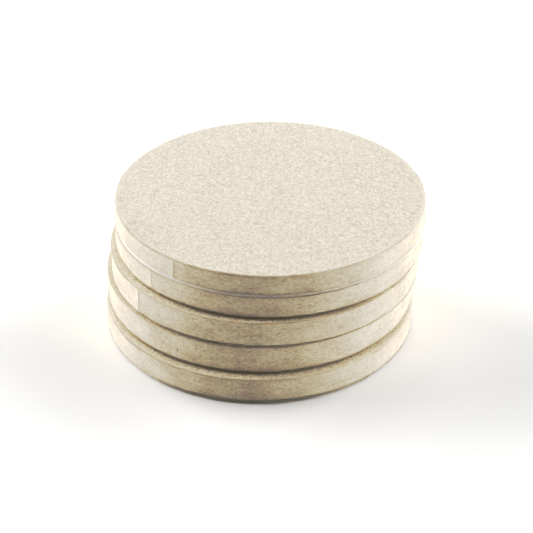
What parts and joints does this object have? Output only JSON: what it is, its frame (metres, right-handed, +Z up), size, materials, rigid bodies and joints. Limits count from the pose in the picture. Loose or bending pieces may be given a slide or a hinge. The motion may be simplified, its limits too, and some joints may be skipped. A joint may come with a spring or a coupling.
{
  "type": "felt polishing wheel",
  "caption": "Stack of thick round pressed wool felt polishing wheels with no bore, each with an adhesive back under a peel-off liner.",
  "frame": {"origin": "centre of the bottom liner's lower face, which is what the stack stands on", "axes": "+Z up through the stack to the top disc's working face; the front of the stack faces -Y and +X is to the right of it"},
  "size_m": [0.1035, 0.105, 0.0439],
  "materials": {
    "wool_felt": "natural cream pressed wool felt, matt, fine short fibre",
    "acrylic_adhesive": "clear straw-coloured pressure-sensitive film, satin",
    "release_paper": "white coated release paper, satin"
  },
  "bodies": {
    "liner_1": {"release_liner_1": "release_paper"},
    "disc_1": {"felt_disc_1": "wool_felt", "adhesive_film_1": "acrylic_adhesive"},
    "disc_2": {"felt_disc_2": "wool_felt", "adhesive_film_2": "acrylic_adhesive"},
    "liner_2": {"release_liner_2": "release_paper"},
    "liner_3": {"release_liner_3": "release_paper"},
    "disc_3": {"felt_disc_3": "wool_felt", "adhesive_film_3": "acrylic_adhesive"},
    "disc_4": {"felt_disc_4": "wool_felt", "adhesive_film_4": "acrylic_adhesive"},
    "liner_4": {"release_liner_4": "release_paper"},
    "liner_5": {"release_liner_5": "release_paper"},
    "disc_5": {"felt_disc_5": "wool_felt", "adhesive_film_5": "acrylic_adhesive"}
  },
  "joints": [
    {"name": "disc_1_off_its_liner", "type": "slide", "parent": "liner_1", "child": "disc_1", "axis": [0, 0, 1], "range_m": [0, 0.015]},
    {"name": "disc_2_off_disc_1", "type": "slide", "parent": "disc_1", "child": "disc_2", "axis": [0, 0, 1], "range_m": [0, 0.03]},
    {"name": "liner_2_off_its_disc", "type": "slide", "parent": "disc_2", "child": "liner_2", "axis": [0, 0, 1], "range_m": [0, 0.015]},
    {"name": "liner_3_off_liner_2", "type": "slide", "parent": "liner_2", "child": "liner_3", "axis": [0, 0, 1], "range_m": [0, 0.03]},
    {"name": "disc_3_off_its_liner", "type": "slide", "parent": "liner_3", "child": "disc_3", "axis": [0, 0, 1], "range_m": [0, 0.015]},
    {"name": "disc_4_off_disc_3", "type": "slide", "parent": "disc_3", "child": "disc_4", "axis": [0, 0, 1], "range_m": [0, 0.03]},
    {"name": "liner_4_off_its_disc", "type": "slide", "parent": "disc_4", "child": "liner_4", "axis": [0, 0, 1], "range_m": [0, 0.015]},
    {"name": "liner_5_off_liner_4", "type": "slide", "parent": "liner_4", "child": "liner_5", "axis": [0, 0, 1], "range_m": [0, 0.03]},
    {"name": "disc_5_off_its_liner", "type": "slide", "parent": "liner_5", "child": "disc_5", "axis": [0, 0, 1], "range_m": [0, 0.015]}
  ]
}
